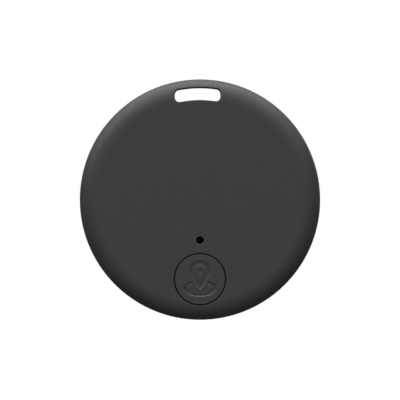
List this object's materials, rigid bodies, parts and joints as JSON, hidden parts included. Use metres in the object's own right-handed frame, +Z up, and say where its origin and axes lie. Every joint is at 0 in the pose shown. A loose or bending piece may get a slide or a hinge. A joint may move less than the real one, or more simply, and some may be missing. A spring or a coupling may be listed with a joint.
{
  "type": "bluetooth tracker tag",
  "caption": "Round key-finder tag with a hanging slot in its rim, a press button and sound hole on its face, and a snap-off rear cover over a coin cell.",
  "frame": {"origin": "top of the key slot's waist, where a key ring bears, at half the thickness", "axes": "+Z up from the middle of the round face to the slot as the tag hangs, -Y out of the button face, +Y out of the rear cover, +X to the right seen from the button face"},
  "size_m": [0.036, 0.0088, 0.0361],
  "materials": {
    "case_plastic": "fine spark-eroded matte",
    "button_plastic": "fine spark-eroded matte",
    "board_laminate": "green solder mask over glass fibre",
    "holder_plastic": "black glass-filled nylon",
    "spring_metal": "nickel-plated spring bronze",
    "cell_steel": "drawn stainless steel",
    "seal_plastic": "milky nylon",
    "cathode_pellet": "pressed powder",
    "separator_felt": "thin felt",
    "lithium_metal": "dull",
    "foam": "closed-cell foam",
    "switch_plastic": "moulded",
    "plunger_plastic": "natural white acetal",
    "stamped_steel": "stamped, bright",
    "buzzer_plastic": "liquid-crystal polymer",
    "gasket_rubber": "silicone",
    "magnet_ferrite": "sintered",
    "copper": "copper",
    "tin_plate": "reflowed solder",
    "chip_epoxy": "moulded epoxy",
    "ceramic": "fired ceramic",
    "resistor_glaze": "glazed",
    "ferrite": "pressed ferrite"
  },
  "bodies": {
    "front_case": {"front_cover": "case_plastic", "circuit_board": "board_laminate", "battery_holder": "holder_plastic", "negative_contact": "spring_metal", "positive_contact": "spring_metal", "switch_base": "switch_plastic", "switch_dome": "stamped_steel", "switch_frame": "stamped_steel", "switch_terminals": "tin_plate", "buzzer_case": "buzzer_plastic", "buzzer_gasket": "gasket_rubber", "buzzer_diaphragm": "stamped_steel", "buzzer_base": "buzzer_plastic", "buzzer_core": "stamped_steel", "buzzer_coil": "copper", "buzzer_magnet": "magnet_ferrite", "buzzer_terminals": "tin_plate", "bluetooth_chip": "chip_epoxy", "chip_pads": "tin_plate", "crystal": "stamped_steel", "antenna_trace": "copper", "capacitor_bodies": "ceramic", "capacitor_ends": "tin_plate", "resistor_bodies": "resistor_glaze", "resistor_ends": "tin_plate", "choke": "ferrite", "driver_transistor": "chip_epoxy", "transistor_leads": "tin_plate"},
    "button": {"button_cap": "button_plastic"},
    "switch_stem": {"switch_plunger": "plunger_plastic"},
    "rear_case": {"rear_cover": "case_plastic", "battery_pad": "foam"},
    "battery": {"battery_can": "cell_steel", "battery_cap": "cell_steel", "battery_gasket": "seal_plastic", "battery_cathode": "cathode_pellet", "battery_separator": "separator_felt", "battery_anode": "lithium_metal"}
  },
  "joints": [
    {"name": "button_press", "type": "slide", "parent": "front_case", "child": "button", "axis": [0, 1, 0], "range_m": [0, 0.00025], "stiffness_N_per_m": 6000, "deforming": ["switch_dome"]},
    {"name": "stem_press", "type": "slide", "parent": "front_case", "child": "switch_stem", "axis": [0, 1, 0], "range_m": [0, 0.00025]},
    {"name": "cover_off", "type": "slide", "parent": "front_case", "child": "rear_case", "axis": [0, 1, 0], "range_m": [0, 0.02]},
    {"name": "battery_out", "type": "slide", "parent": "front_case", "child": "battery", "axis": [0, 1, 0], "range_m": [0, 0.01]}
  ],
  "couplings": [
    {"joint": "stem_press", "follows": "button_press", "ratio": 1},
    {"joint": "battery_out", "follows": "cover_off", "ratio": 0.5}
  ]
}
